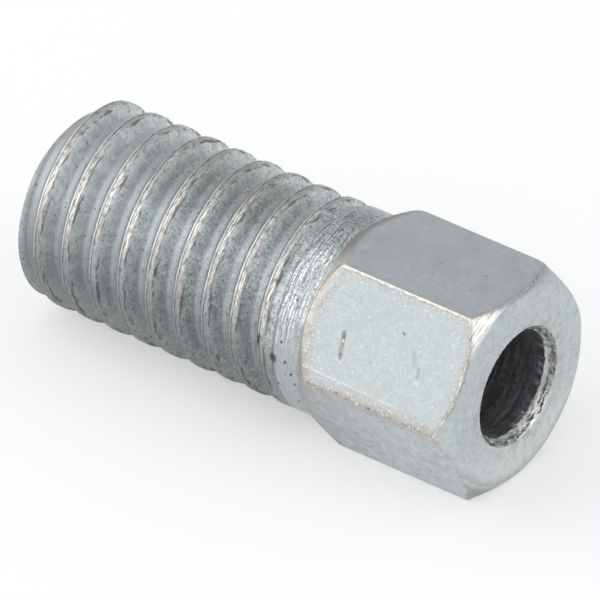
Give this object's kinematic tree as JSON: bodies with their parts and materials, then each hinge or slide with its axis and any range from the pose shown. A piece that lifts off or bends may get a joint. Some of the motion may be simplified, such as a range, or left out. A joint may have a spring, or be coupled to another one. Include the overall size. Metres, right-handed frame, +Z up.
{
  "type": "bleeder screw",
  "caption": "Hollow hexagon-head bleeder screw with a plain collar, an external thread and a bore right through.",
  "frame": {"origin": "on the screw's axis, inside the bore, in the plane where the cone under the head meets the shank", "axes": "+X along the axis from the thread end to the head's end face, +Z up with one flat of the head down"},
  "size_m": [0.0196, 0.009, 0.0078],
  "materials": {
    "zinc_plated_steel": "satin zinc plating over turned steel, worn on the crests and edges"
  },
  "bodies": {
    "root": {"bleeder_screw": "zinc_plated_steel"}
  },
  "joints": []
}
